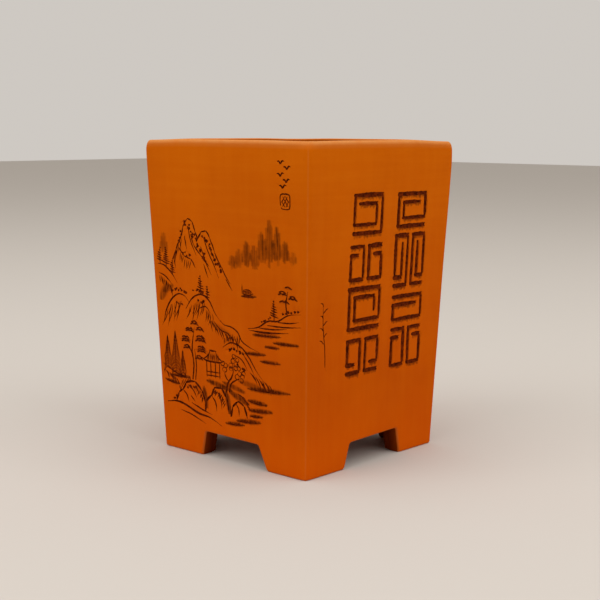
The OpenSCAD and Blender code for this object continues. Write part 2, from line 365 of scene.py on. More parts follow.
class Drawing:
    """What is drawn on one face: each line has its middle points and half widths, each wash two ends,
    a half width and a strength."""

    def __init__(self, seed):
        self.rng = random.Random(seed)
        self.lines = []
        self.washes = []

    def vary(self, share):
        return 1 + self.rng.uniform(-share, share)

    def line(self, points, width=0.6, start=0.35, end=0.15, step=0.8, wobble=0.05):
        """A cut line that swells from its start and thins to its end."""
        p = curve(points, step)
        t = np.linspace(0, 1, len(p))
        swell = start + (1 - start) * smoothstep(0, 0.3, t)
        swell = swell * (end + (1 - end) * smoothstep(0, 0.45, 1 - t))
        drift = np.array([[self.rng.uniform(-1, 1), self.rng.uniform(-1, 1)] for _ in t])
        size = np.array([self.vary(0.12) for _ in t])
        self.lines.append((p + drift * wobble, width * 0.62 * swell * size))

    def dab(self, u, z, size=1.0, angle=0.0):
        """A short fat mark, about size long."""
        way = np.array([math.cos(angle), math.sin(angle)]) * size / 2
        at = np.array([u, z])
        self.line([at - way, at + way], size * 0.8, 0.6, 0.5, size / 2.5, 0.04)

    def wash(self, a, b, width, strength=0.6, blunt=False):
        """A dry-brush smear from a to b, lens shaped or blunt ended."""
        taper = 0.12 if blunt else 0.5
        self.washes.append((np.array(a, float), np.array(b, float), width / 2, strength, taper))

    def hatch(self, points, gap, length, angle, width=0.4, curl=0.0, spread=0.25):
        """Short strokes that leave a line side by side, at an angle in degrees."""
        p = curve(points, gap)
        for at in p:
            turn = math.radians(angle) * self.vary(0.05)
            far = length * self.vary(spread)
            way = np.array([math.cos(turn), math.sin(turn)])
            side = np.array([-way[1], way[0]])
            start = at + way * self.rng.uniform(0, 0.15) * far
            middle = start + way * far * 0.5 + side * curl
            self.line([start, middle, start + way * far], width * self.vary(0.25))

    def dots(self, points, gap, size, scatter):
        for at in curve(points, gap):
            u = at[0] + self.rng.uniform(-scatter, scatter)
            z = at[1] + self.rng.uniform(-scatter, scatter)
            self.dab(u, z, size * self.vary(0.35), self.rng.uniform(-0.8, 0.8))


def peak(d, u, top, low, spread, strength):
    """A distant peak: a spindle of upright dry-brush strokes, ragged at its foot."""
    tall = top - low
    count = max(3, round(spread / 0.8))
    for k in range(count):
        s = (k + 0.5) / count * 2 - 1
        high = top - tall * (0.6 * abs(s) ** 1.7 + d.rng.uniform(0, 0.06))
        foot = low + tall * (0.2 * abs(s) ** 1.5 + d.rng.uniform(-0.12, 0.12))
        at = u + s * spread / 2
        tip = (at + d.rng.uniform(-0.2, 0.2), high)
        d.wash((at, foot), tip, 2.2 * d.vary(0.2), strength * d.vary(0.25), True)


def broken(d, points, width=0.6):
    """A ridge in short strokes, each one set down afresh."""
    for a, b in zip(points, points[1:]):
        a, b = np.array(a, float), np.array(b, float)
        bend = np.array([a[1] - b[1], b[0] - a[0]]) * d.rng.uniform(-0.05, 0.08)
        d.line([a, (a + b) / 2 + bend, b + (b - a) * 0.06], width * d.vary(0.15), 0.75, 0.3)


def rungs(d, a, b, count, short, long, tilt, width=0.58):
    """Dashes side by side from a to b that grow longer: a conifer's boughs."""
    for k in range(count):
        t = k / (count - 1)
        u = a[0] + (b[0] - a[0]) * t + d.rng.uniform(-0.35, 0.35)
        z = a[1] + (b[1] - a[1]) * t
        far = (short + (long - short) * t) / 2 * d.vary(0.12)
        drop = far * math.tan(math.radians(tilt * d.vary(0.2)))
        d.line([(u - far, z + drop), (u, z - 0.15), (u + far, z - drop)], width, 0.5, 0.3)


def tuft(d, u, z, long, rows):
    """A flat bough: rows of short strokes that droop to both sides, over a light smear."""
    d.wash((u - long * 0.5, z - 0.5 * rows), (u + long * 0.5, z - 0.5 * rows), rows * 0.9, 0.3)
    for k in range(rows):
        far = long / 2 * (0.65 + 0.35 * (k + 1) / rows)
        count = max(2, round(far * 0.95))
        for j in range(count):
            s = (j + 0.5) / count * 2 - 1 + d.rng.uniform(-0.08, 0.08)
            at = np.array([u + s * far * 0.8, z - 0.95 * k + d.rng.uniform(-0.12, 0.12)])
            way = np.array([1.05, -0.75 * s - 0.12]) * d.vary(0.2)
            d.line([at - way, at + way], 0.62, 0.6, 0.35)


def shore(d, a, b, width, strength=0.9):
    """A stretch of water's edge: a dark smear with a cut line along its foot."""
    a, b = np.array(a, float), np.array(b, float)
    d.wash(a, b, width * 1.25, strength)
    d.line([a + (0, -0.1), (a + b) / 2 + (0, -0.22 * width), b], 0.5, 0.2, 0.15)
    rise = (0, 0.3 * width)
    d.hatch([a * 0.8 + b * 0.2 + rise, a * 0.3 + b * 0.7 + rise], 0.85, width * 0.6, 262, 0.34)


def cypress(d, u, z, tall, wide):
    """A flame-shaped evergreen: boughs that slant steeply down from its stem, over a smear."""
    d.wash((u, z - tall * 0.04), (u, z + tall * 0.94), wide * 0.9, 0.16)
    d.line([(u, z), (u - 0.2, z + tall * 0.5), (u, z + tall)], 0.5, 0.5, 0.3)
    count = round(tall / 1.3)
    for k in range(count):
        level = (k + 0.6) / count
        far = wide / 2 * min(1, 1.7 * (1 - level) + 0.08) * d.vary(0.12)
        high = z + tall * level
        for way in (-1, 1):
            bough = [(u + way * 0.1, high), (u + way * far * 0.7, high - 1.2), (u + way * far, high - 2.9)]
            d.line(bough, 0.42, 0.7, 0.3)


def leaf_ball(d, u, z, r, count):
    """A bunch of round leaves, each an open ring."""
    for k in range(count):
        turn = 2.4 * k + d.rng.uniform(-0.3, 0.3)
        off = r * math.sqrt((k + 0.4) / count)
        cu, cz = u + off * math.cos(turn), z + off * math.sin(turn)
        size = 1.15 * d.vary(0.15)
        gap = d.rng.uniform(0, 6.28)
        turns = np.linspace(0.2, 5.9, 10)
        ring = [(cu + size * math.cos(gap + a), cz + 0.9 * size * math.sin(gap + a)) for a in turns]
        d.line(ring, 0.36, 0.7, 0.5, 0.5, 0.03)


def boat(d, u, z, long):
    """A covered boat with a mast, low on the water."""
    shore(d, (u - long * 0.5, z - 0.3), (u + long * 0.65, z), 1.3)
    d.line([(u - long * 0.42, z + 1.1), (u, z + 0.1), (u + long * 0.45, z + 1.2)], 0.7, 0.3, 0.2)
    d.line([(u - long * 0.3, z + 0.9), (u - long * 0.26, z + 2.5)], 0.48)
    roof = [(u - long * 0.26, z + 2.4), (u, z + 2.6), (u + long * 0.24, z + 2.2), (u + long * 0.42, z + 0.9)]
    d.line(roof, 0.48)
    for k in range(6):
        at = u + long * (k - 2.2) * 0.085
        d.line([(at - 0.5, z + 2.3), (at + 0.4, z + 0.7)], 0.4, 0.6, 0.4)
    d.line([(u - long * 0.38, z + 0.8), (u - long * 0.38, z + 4.8)], 0.5)


def conifer(d, u, z, tall):
    """A small straight conifer."""
    d.line([(u, z), (u + 0.2, z + tall)], 0.46, 0.8, 0.5)
    rungs(d, (u + 0.1, z + tall * 0.95), (u, z + tall * 0.22), round(tall / 1.2), 0.9, tall * 0.55, 12)


def pavilion(d, u, z, wide, tall):
    """An open pavilion: a hatched roof with lifted eaves, posts and a rail."""
    eave = z + tall * 0.6
    ridge = z + tall
    far = wide / 2
    low = [(far * 0.7, eave), (far * 1.25, eave + 1)]
    d.line(mirrored(low[::-1], u, -1) + mirrored(low, u, 1), 0.7, 0.6, 0.5)
    slope = [(far * 1.05, eave + 0.6), (far * 0.5, eave + tall * 0.22), (far * 0.3, ridge)]
    for way in (-1, 1):
        d.line(mirrored(slope, u, way), 0.5, 0.6, 0.5)
    d.line([(u - far * 0.4, ridge), (u + far * 0.4, ridge)], 0.7, 0.6, 0.5)
    shade = eave + tall * 0.16
    d.wash((u - far * 0.7, shade), (u + far * 0.7, shade), tall * 0.36, 0.4, True)
    tiles = [(u - far * 0.6, eave + tall * 0.26), (u + far * 0.6, eave + tall * 0.26)]
    d.hatch(tiles, 0.95, tall * 0.22, 268, 0.36, 0, 0.1)
    for share in (-0.72, -0.26, 0.26, 0.72):
        d.line([(u + far * share, eave), (u + far * share, z)], 0.5, 0.7, 0.5)
    for level in (0.06, 0.2):
        d.line([(u - far * 0.8, z + tall * level), (u + far * 0.8, z + tall * level + 0.2)], 0.5, 0.6, 0.5)


def far_peaks(d):
    """A distant range over the headland, and one small peak at the left edge."""
    for u, top, low, spread, strength in (
        (-38.6, 99, 90, 4.6, 0.3), (4.6, 92, 86, 4.4, 0.3), (8.8, 95, 87, 5, 0.34), (13.2, 99, 88, 5, 0.38),
        (17.6, 97, 87, 5, 0.4), (22, 103, 89, 5.4, 0.42), (26.6, 109, 90, 5, 0.48), (31, 106, 90, 4.6, 0.44),
        (35.4, 100, 91, 4.6, 0.38), (39.6, 96, 90, 3.4, 0.34),
    ):
        peak(d, u, top, low, spread, strength)


def twin_peaks(d):
    """A mountain with two tops, its folds in fine lines and its trees in dots."""
    broken(d, [(-33, 87), (-30.4, 92), (-27.6, 96.6), (-25.6, 102), (-22.6, 105.6)])
    broken(d, [(-22.4, 105.8), (-19.4, 104.4), (-17.8, 100), (-16.4, 97.2)])
    broken(d, [(-16.8, 97), (-14, 100.4), (-11, 101), (-8.6, 97.6), (-6, 92), (-2, 86), (2.6, 79.6)])
    broken(d, [(-20.6, 99), (-18.8, 94), (-14.6, 90), (-10, 86)])
    broken(d, [(-28.4, 92.4), (-25, 89), (-21, 88), (-18.6, 84.6)])
    for points in (
        [(-22.2, 102), (-20.8, 96), (-17.6, 90)], [(-12.6, 98), (-10, 92), (-6.4, 86), (-4, 81)],
        [(-14.6, 94), (-12, 88), (-8.4, 82)], [(-9.8, 95), (-5.6, 88)], [(-24.8, 98), (-23.6, 92.4)],
        [(-13, 86.4), (-10.6, 80.6)], [(0.4, 81), (4, 76.4)],
    ):
        d.line(points, 0.5, 0.6, 0.25)
    d.hatch([(-32, 88.6), (-29.4, 93), (-26.8, 97)], 1.7, 4.4, 268, 0.38)
    d.hatch([(-27.6, 90.6), (-24.6, 88.6), (-21, 87.4)], 1.5, 4, 262, 0.38)
    d.dots([(-24.4, 104), (-21, 101), (-18, 96), (-15.4, 92.6), (-11.6, 89)], 1.05, 1.25, 1.3)
    d.dots([(-13.4, 99.4), (-9.6, 95.6), (-6.4, 89.6), (-2.6, 84.6)], 1.15, 1.25, 0.9)
    d.dots([(-29, 95), (-26.6, 99.6)], 1.5, 1.15, 0.7)
    d.dots([(-26, 90.6), (-21.6, 89.4)], 1.6, 1.1, 0.7)


def back_ridge(d):
    """A wooded ridge that comes in from the left, over a shaded hollow."""
    d.line([(-43, 84.6), (-38.6, 84), (-34, 80.8), (-30.6, 76.8)], 0.62)
    d.line([(-42.6, 80.6), (-38, 79), (-33.6, 75.4)], 0.5)
    for u, z, tall in ((-41.4, 84.8, 7.4), (-37.4, 83.4, 9), (-33.4, 80.2, 6.6)):
        conifer(d, u, z, tall)
    d.hatch([(-42, 79.6), (-38.4, 78), (-34.4, 74.6)], 1.2, 4, 286, 0.4)
    d.wash((-42.2, 68), (-37, 76), 5, 0.6)
    d.wash((-40.6, 72), (-33, 75.4), 3.4, 0.55)


def near_hills(d):
    """Two round hills in the middle distance, hatched down their near sides."""
    d.line([(-40.4, 58), (-38.6, 63.6), (-35, 68.8), (-30.4, 71.8), (-26, 71.2), (-22.8, 68)], 0.66)
    d.line([(-25.6, 65.6), (-21.4, 70.6), (-15.6, 73), (-10.6, 70.6), (-7.2, 65.6), (-3.6, 62)], 0.66)
    d.line([(-17.4, 66.4), (-13, 67.8), (-9.6, 65)], 0.5)
    d.hatch([(-37, 64.6), (-32.6, 68.8), (-28, 69.6)], 1.65, 7.4, 252, 0.42, 0.5)
    d.hatch([(-22.4, 67.4), (-18, 70), (-13.4, 70.6)], 1.5, 7, 250, 0.42, 0.5)
    d.hatch([(-12.4, 67), (-8.6, 65)], 1.4, 5, 262, 0.38, 0.4)
    d.dots([(-34.6, 72.4), (-30, 74), (-25.6, 73)], 1.5, 1.2, 0.6)
    d.dots([(-20, 74), (-17.4, 75), (-14, 74.4)], 1.5, 1.2, 0.6)
    d.dots([(-31.4, 68), (-27.6, 67)], 2, 1.1, 0.7)
    d.dots([(-17, 70), (-13.6, 69.6)], 2, 1.1, 0.6)
    conifer(d, -15.8, 73, 8.4)
    conifer(d, -11.6, 71, 6)


def terrace(d):
    """The slope that steps down from the hills to the water."""
    d.line([(-4, 62.6), (-1.6, 61), (3, 60.4), (6.4, 58.6), (8.6, 55.2), (12.6, 53.2), (19, 51.4)], 0.56)
    d.line([(-8, 62), (-4, 58.6), (0.6, 57.4), (4, 55)], 0.5)
    d.hatch([(-10.6, 63), (-6.6, 60), (-2, 58.4), (3, 56.8), (6, 54.4)], 1.3, 4.4, 296, 0.4)
    d.wash((-11, 61.6), (2, 57), 2.8, 0.36)
    shore(d, (10, 50.2), (23, 50.8), 1.5)
    shore(d, (19, 47.8), (31, 48), 1.5)


def headland(d):
    """A low headland on the right, with a pine and a conifer, and a small boat on the water beyond."""
    d.line([(12.6, 61), (18.6, 62.2), (24.4, 65.4), (30, 66), (36, 69), (43.2, 70.2)], 0.6)
    d.line([(13, 60.4), (24, 60.4), (36, 61.6)], 0.72, 0.2, 0.2)
    for left, right, z in ((19, 35, 62), (24, 43, 63.6), (30, 42, 65.6)):
        d.line([(left, z), ((left + right) / 2, z + 0.2), (right, z + 1.2)], 0.52, 0.5, 0.25)
    d.dots([(20.6, 64.4), (26, 67)], 1.8, 1.1, 0.4)
    d.dots([(33, 69), (41.6, 71.4)], 1.8, 1.1, 0.4)
    d.line([(35.6, 69), (35, 73.4), (36.2, 79)], 0.56, 0.9, 0.4)
    for u, z, long, rows in ((36.4, 80.6, 5, 1), (33.4, 78.6, 6, 2), (38.8, 77, 5.6, 2), (34.2, 74.6, 6, 1)):
        tuft(d, u, z, long, rows)
    conifer(d, 28, 66, 8.6)
    shore(d, (15, 58.8), (32, 59.4), 1.4)
    shore(d, (27, 56.6), (42, 57), 1.6)
    shore(d, (22, 54.4), (31, 54.6), 1.3)
    boat(d, 13, 75, 8)


def left_bank(d):
    """Cypresses and a tall pine on the near bank."""
    cypress(d, -38.6, 37.4, 15, 5)
    cypress(d, -33.4, 36, 19, 5.8)
    cypress(d, -28.8, 35.6, 11, 4)
    d.line([(-42, 39), (-37.4, 37), (-31, 35), (-25, 35.2)], 0.6)
    shore(d, (-37, 34.4), (-24, 34.6), 1.6)
    shore(d, (-41, 31.8), (-31, 30.6), 1.6)
    d.hatch([(-41.6, 36.6), (-38, 35.2), (-34, 33.6)], 1.0, 3, 296, 0.46)
    d.line([(-22.6, 34), (-21.6, 41), (-22.4, 48), (-20.6, 57.6)], 0.66, 0.9, 0.4)
    d.line([(-20.8, 34), (-20, 41), (-20.8, 48)], 0.52, 0.8, 0.4)
    d.line([(-21.8, 45), (-25, 49.6)], 0.5, 0.8, 0.5)
    for u, z, long, rows in (
        (-20.4, 60.4, 5.4, 2), (-17, 58, 6, 2), (-23.6, 57, 6.4, 2), (-26.4, 53, 7, 3), (-16.6, 54, 7.4, 3),
        (-25.6, 49, 5.4, 2), (-16.4, 49.4, 7, 3), (-18, 45, 5.4, 2),
    ):
        tuft(d, u, z, long, rows)


def low_hill(d):
    """A low hill behind the pavilion, with grass at its foot."""
    d.line([(-3, 51), (2, 53.6), (8, 52.4), (12.6, 48.6), (16.6, 43.4), (21, 39)], 0.62)
    d.line([(9, 49.6), (12.4, 45.8), (15.6, 41)], 0.5)
    d.line([(3.4, 48.6), (8.4, 46.8), (11.6, 42.6)], 0.5)
    d.dots([(1, 50.6), (5.4, 50.8), (9, 49.4)], 1.7, 1.15, 0.45)
    d.dots([(5.4, 44.4), (9.6, 42.4)], 1.7, 1.15, 0.4)
    d.hatch([(-2, 52.4), (2, 54.4), (7, 53.6)], 1.15, 2.6, 82, 0.4)
    d.hatch([(13, 42), (17, 40.4), (21, 39.4), (24, 38.4)], 1.3, 4.2, 302, 0.42, 0.1)
    d.wash((6, 37.4), (22, 35.2), 3.2, 0.6)
    shore(d, (11, 34.8), (36, 36), 2.2)


def leafy_tree(d):
    """A leaning tree with round leaves on the near boulders."""
    d.line([(-1.6, 31.4), (-0.4, 35.6), (2, 38.6), (3.4, 42.4)], 0.75, 0.9, 0.3)
    d.line([(0.2, 31.4), (1.2, 35), (4, 37.2), (6.6, 38)], 0.62, 0.9, 0.3)
    d.line([(0, 36), (-2, 38.6), (-2.4, 41)], 0.5)
    leaf_ball(d, 4, 44.6, 3.6, 8)
    leaf_ball(d, 7.6, 39.4, 2.6, 5)
    leaf_ball(d, -2.4, 43, 2, 3)


def boulders(d):
    """Three boulders at the water's edge, with shade in the clefts between them."""
    broken(d, [(-34, 22.8), (-32, 27), (-29.4, 28.6), (-27, 32), (-21, 33), (-17, 29.4), (-15, 24.4)], 0.85)
    d.line([(-29.4, 28.4), (-27, 26.4), (-25.6, 23)], 0.62)
    d.line([(-26, 31), (-22.6, 29), (-20.4, 25.6)], 0.56)
    d.line([(-24.4, 26.4), (-21.6, 24)], 0.5)
    middle = [(-15.2, 20.6), (-14.4, 25.4), (-11, 28.4), (-9, 32.2), (-4.4, 32.4), (-1.2, 28), (-0.6, 22)]
    broken(d, middle, 0.85)
    d.line([(-11, 28.2), (-8.6, 25.6), (-8, 21.6)], 0.62)
    d.line([(-7.4, 30.6), (-5.2, 27), (-4.8, 23)], 0.56)
    broken(d, [(0.8, 20.6), (2, 25.4), (5.4, 28.2), (9, 26.4), (10.6, 21.8)], 0.8)
    d.line([(4, 27), (5.6, 24.6), (5.8, 21.4)], 0.55)
    for a, b, width, strength in (
        ((-15.8, 32), (-14, 22), 3.2, 0.85), ((-1.8, 32), (0.4, 21.6), 3.4, 0.9),
        ((-14, 35), (2, 32.4), 3, 0.85), ((0, 32), (12, 27.6), 3.6, 0.8), ((-4, 35.6), (10, 32.6), 2.8, 0.7),
    ):
        d.wash(a, b, width, strength)
    d.hatch([(-21, 31.6), (-18, 29.6), (-16.4, 26.4)], 1.1, 2.6, 246, 0.46)
    d.hatch([(-8, 31.4), (-4.4, 29.8), (-2.4, 26.4)], 1.1, 2.6, 246, 0.46)
    d.hatch([(4.6, 31.8), (8.6, 29.6), (11, 26)], 1.15, 3.4, 336, 0.44, 0.2)
    d.hatch([(-31, 27.6), (-28, 31), (-24, 33)], 1.3, 2, 112, 0.46)
    d.line([(-40, 21.4), (-34, 22.4), (-28, 21.6), (-20, 19), (-12, 18), (-5, 15.4)], 0.85)
    d.line([(-24, 23.2), (-17, 21), (-11, 19.6)], 0.56)
    d.line([(-31, 18.8), (-24, 17.6), (-15, 14.8)], 0.5)
    d.dots([(-36, 23.6), (-33.6, 24.6)], 1.5, 1.0, 0.5)
    d.dots([(-26, 30), (-21, 30.4)], 2.0, 1.1, 0.5)
    d.dots([(-10, 30), (-6.6, 30)], 1.8, 1.1, 0.4)
    for a, b, width in (
        ((11, 29.6), (23, 29), 2.2), ((11.6, 25.4), (26, 26.4), 2.1), ((4, 19.6), (19, 20.8), 2.1),
        ((-3, 17.4), (9, 18.2), 1.8), ((12, 23), (20, 23.4), 1.5),
    ):
        shore(d, a, b, width)


def birds_and_mark(d):
    """A string of birds, and a small lattice in a rounded frame."""
    for u, z in ((34, 131), (37.5, 128.8), (33.8, 126), (37, 123.6), (35, 121.2)):
        d.line([(u - 1.9, z + 0.8), (u - 0.8, z + 0.7), (u, z - 0.3)], 0.62, 0.3, 0.9, 0.5)
        d.line([(u, z - 0.3), (u + 1.0, z + 1), (u + 2.1, z + 0.8)], 0.62, 0.9, 0.3, 0.5)
    frame_line = [
        (-2.6, -1.6), (-2.7, 2), (-1.6, 3), (1.6, 3), (2.6, 2),
        (2.5, -2), (1.6, -3), (-1.7, -3), (-2.4, -2.3),
    ]
    mid_u, mid_z = 36.2, 115.6
    d.line([(mid_u + u, mid_z + z) for u, z in frame_line], 0.5, 0.8, 0.7)
    bars = (((-2, -0.4), (-0.2, 2.2)), ((-1.5, -2), (1.3, 2)), ((0.3, -2.2), (2, 0.3)))
    for way in (-1, 1):
        for ends in bars:
            d.line([(mid_u + u * way, mid_z + z) for u, z in ends], 0.38, 0.7, 0.6)


def landscape():
    """Hills over water, in the zones that such a picture has, from the far peaks to the front rocks."""
    d = Drawing(11)
    for part in (
        far_peaks, twin_peaks, back_ridge, near_hills, terrace, headland, left_bank, low_hill, leafy_tree,
        boulders, birds_and_mark,
    ):
        part(d)
    pavilion(d, -9.4, 36.6, 11, 12)
    return d


def spiral(w, h, pitch, legs):
    """Corners of a square spiral that winds in from its lower left corner."""
    out = [(0, 0)]
    for k in range(legs):
        inward, corner = divmod(k, 4)
        a = inward * pitch
        out.append([(w - a, a), (w - a, h - a), (a, h - a), (a, a + pitch)][corner])
    return np.array(out, dtype=float)


def bar(d, a, b, width):
    """A thick chisel cut with a smeared lower or right-hand edge."""
    a, b = np.array(a, float), np.array(b, float)
    way = unit(b - a)
    level = abs(way[0]) > 0.5
    thick = width if level else width * 0.93
    d.line([a - way * width * 0.45, (a + b) / 2, b + way * width * 0.45], thick, 0.82, 0.7, 1.1, 0.07)
    low, high = (min(a[0], b[0]), max(a[0], b[0])) if level else (min(a[1], b[1]), max(a[1], b[1]))
    for k in range(round((high - low) / 0.6)):
        at = low + 0.6 * (k + 0.5)
        if level:
            far = width * 0.5 + d.rng.uniform(0.5, 1.5)
            d.wash((at, a[1] + 0.4), (at + 0.1, a[1] - far), 1.5, 0.5)
        else:
            far = width * 0.5 + d.rng.uniform(0, 0.35)
            d.wash((a[0] + far, at + 0.9), (a[0] + far, at - 0.9), 1.2, 0.25)


def fret():
    """Two columns of square-spiral blocks, as on old bronzes, and a sprig of reed beside them."""
    d = Drawing(5)
    width = 1.55
    pitch = 3.6
    for u, z, w, h, legs, double, flip_u, flip_z in (
        (-10, 109.5, 18, 16, 7, False, 1, 1),
        (-10, 89, 20, 14, 5, True, 1, -1),
        (-10, 69.5, 20, 17, 8, False, -1, 1),
        (-10, 49, 20, 14, 5, True, 1, 1),
        (20, 110, 19, 14, 7, False, -1, 1),
        (20, 88, 20, 22, 6, True, 1, 1),
        (20, 67, 20, 10, 5, False, 1, -1),
        (20, 49.5, 20, 16, 5, True, 1, -1),
    ):
        if double:
            each = (w - pitch) / 2
            shapes = [spiral(each, h, pitch, legs) - (each + pitch / 2, h / 2)]
            shapes.append(shapes[0] * (-1, 1))
        else:
            shapes = [spiral(w, h, pitch, legs) - (w / 2, h / 2)]
        for corners in shapes:
            placed = corners * (flip_u, flip_z) + (u, z)
            for a, b in zip(placed, placed[1:]):
                bar(d, a, b, width * d.vary(0.16))
    d.line([(-34, 47), (-34.6, 55), (-36, 64), (-36.6, 74)], 0.42, 0.8, 0.4)
    for k in range(7):
        z = 57 + 2.6 * k
        way = 1 if k % 2 else -1
        leaf = [(-35.4 - k * 0.15, z), (-35.6 + way * 1.3, z + 1.4), (-35.8 + way * 2.4, z + 1.7)]
        d.line(leaf, 0.42, 0.7, 0.3)
    return d


# ---- Walls ----


def arch_outline(side):
    """The arch's sides and top as points from its left foot to its right, with round upper corners."""
    a, b, c, d = [np.array(p) * MM for p in ARCHES[side]]
    out = [a]
    for before, corner, after in ((a, b, c), (b, c, d)):
        to_a, to_c = unit(before - corner), unit(after - corner)
        angle = math.acos(float(to_a @ to_c)) / 2
        centre = corner + unit(to_a + to_c) * ARCH_R / math.sin(angle)
        start = corner + to_a * ARCH_R / math.tan(angle) - centre
        end = corner + to_c * ARCH_R / math.tan(angle) - centre
        for t in np.linspace(0, 1, 6):
            out.append(centre + unit(start * (1 - t) + end * t) * ARCH_R)
    out.append(d)
    return out


def filled_in(points, step):
    """A polyline with points added so that none are further apart than step."""
    out = [points[0]]
    for a, b in zip(points, points[1:]):
        n = max(1, math.ceil(float(np.linalg.norm(b - a)) / step))
        out += [a + (b - a) * k / n for k in range(1, n + 1)]
    return out


# How far in from an edge each row of a rounding lies, as shares of its radius.
ROUNDING = [1 - math.cos(math.radians(a)) for a in (18, 36, 54, 72, 90)]
# Where the columns round a vertical corner lie, as angles from the face to the mitre.
CORNER_TURNS = [math.radians(a) for a in (0, 9, 18, 27, 35, 41, 44)]


def edge_heights():
    """The heights of the points along a mitred corner, the same on every wall."""
    low = [WORN_R * s for s in ROUNDING]
    high = [HEIGHT - TIP_R, HEIGHT - 0.75 * TIP_R, *[HEIGHT - RIM_R * s for s in reversed(ROUNDING)]]
    between = np.linspace(low[-1], high[0], 56)[1:-1]
    return [0.0, *low, *between, *high, HEIGHT]


def across(z, step):
    """The columns over a face at height z, from mitre to mitre without the two ends."""
    flat = half(z) - ARRIS_R
    n = math.ceil(2 * flat / step)
    middle = np.linspace(-flat, flat, n + 1)[1:-1]
    turns = [flat + ARRIS_R * t for t in CORNER_TURNS]
    return [*[-t for t in reversed(turns)], *middle, *turns]


def wall_outline(side, step):
    """The face's outline, counter-clockwise from the bottom left, and the line along its lower edge."""
    arch = filled_in(arch_outline(side), step)
    foot_l, foot_r = arch[0][0], arch[-1][0]
    bottom = across(0, step)
    left = [np.array((u, 0.0)) for u in [-reach(0), *bottom] if u < foot_l - step / 2]
    right = [np.array((u, 0.0)) for u in [*bottom, reach(0)] if u > foot_r + step / 2]
    sides = edge_heights()
    up = [np.array((reach(z), z)) for z in sides[1:]]
    top = [np.array((u, HEIGHT)) for u in reversed(across(HEIGHT, step))]
    down = [np.array((-reach(z), z)) for z in reversed(sides[1:])]
    return left + arch + right + up + top + down, np.array([left[0], *arch, right[-1]])


def to_segment(points, a, b):
    """How far along from a to b each point lies, 0 to 1, and how far from that line."""
    way = b - a
    q = points - a
    t = np.clip((q @ way) / max(way @ way, 1e-18), 0, 1)
    return t, np.linalg.norm(q - t[:, None] * way, axis=1)


def distance_to(line, points):
    """The distance from each point to a polyline."""
    best = np.full(len(points), np.inf)
    for a, b in zip(line, line[1:]):
        best = np.minimum(best, to_segment(points, a, b)[1])
    return best


def normals(line):
    """The unit normal at each point of a polyline, to its left."""
    way = np.gradient(line, axis=0)
    way /= np.maximum(np.linalg.norm(way, axis=1), 1e-9)[:, None]
    return np.stack([-way[:, 1], way[:, 0]], axis=1)


def in_box(points, low, high):
    return ((points > low) & (points < high)).all(axis=1)


def rounded(distance, radius):
    """How far a rounded edge drops at a distance in from it."""
    inside = np.clip(radius - distance, 0, radius)
    return radius - np.sqrt(radius * radius - inside * inside)


def triangulate(outline, loose, shapes=()):
    """Triangles that fill the outline, with loose points and closed shapes worked in. Gives the points,
    the triangles, whether each lies in a shape, and the index of each outline point."""
    points = [tuple(p) for p in np.array(outline) / MM]
    loops = [list(range(len(points)))]
    for shape in shapes:
        loops.append(list(range(len(points), len(points) + len(shape))))
        points += [tuple(p) for p in shape]
    points += [tuple(p) for p in np.array(loose) / MM]
    found, _, faces, origin, _, owners = delaunay_2d_cdt(points, [], loops, 0, 1e-4, True)
    place = {source: index for index, sources in enumerate(origin) for source in sources}
    kept = [(tuple(f), len(owner) > 1) for f, owner in zip(faces, owners) if 0 in owner]
    ring = [place[i] for i in range(len(outline))]
    return np.array([tuple(p) for p in found]) * MM, [f for f, _ in kept], [cut for _, cut in kept], ring


unevenness = [waves(40 + k, 9, 0.018, 0.09) for k in range(4)]


def by_corner(side, u, z, amounts):
    """A value that each corner has, blended along a wall from its left corner to its right one."""
    share = smoothstep(-1, 1, u / reach(z))
    return amounts[side] * (1 - share) + amounts[side - 1] * share


def near_corner(u, z, far):
    """1 at the mitred corners, fading to 0 at a distance."""
    return 1 - smoothstep(0, far, reach(z) - np.abs(u))


def worn_height(side, u, z):
    """Heights near the rim, lowered towards its worn corners."""
    low = by_corner(side, u, z, WORN_TIPS) * near_corner(u, z, TIP_REACH)
    return z - low * smoothstep(HEIGHT - 14 * MM, HEIGHT, z)


def face_point(side, u, z, depth):
    """A wall face's point in the ornament wall's own place, depth below the true face."""
    z = worn_height(side, u, z)
    flat = half(z) - ARRIS_R
    turn = np.clip((np.abs(u) - flat) / ARRIS_R, 0, QUARTER)
    x = np.where(turn > 0, np.sign(u) * (flat + (ARRIS_R - depth) * np.sin(turn)), u)
    y = -(flat + (ARRIS_R - depth) * np.cos(turn))
    return np.stack([x, y, z], axis=1)


def inner_point(side, u, z, depth):
    """The same on the inner face, where the columns beyond the middle are drawn in to meet the mitre."""
    flat = 30 * MM
    z = worn_height(side, u, z)
    y = half(z) - WALL + depth
    drawn = flat + (np.abs(u) - flat) * (y - flat) / (reach(z) - flat)
    return np.stack([np.where(np.abs(u) > flat, np.sign(u) * drawn, u), -y, z], axis=1)


def bare_depth(side, p, foot_line):
    """How far the bare outer face lies below the true one: rounded edges and hand-made unevenness."""
    u, z = p[:, 0], p[:, 1]
    away = smoothstep(0, 9 * MM, half(z) - ARRIS_R - np.abs(u)) * smoothstep(0, 12 * MM, z)
    uneven = np.clip(0.11 + 0.09 * unevenness[side](u, z), 0, 1) * MM * away
    belly = smoothstep(HEIGHT * 0.55, HEIGHT - 16 * MM, z)
    swell = by_corner(side, u, z, SWELLS) * belly * (1 - smoothstep(HEIGHT - 11 * MM, HEIGHT - 2 * MM, z))
    tip = near_corner(u, z, 7 * MM)
    crisp = by_corner(side, u, z, CRISPNESS) * near_corner(u, z, ARRIS_R * QUARTER)
    rim = rounded(HEIGHT - z, RIM_R) * (1 - tip) + TIP_DROP * rounded(HEIGHT - z, TIP_R) * tip
    return uneven - swell - crisp + rim + rounded(distance_to(foot_line, p), WORN_R)


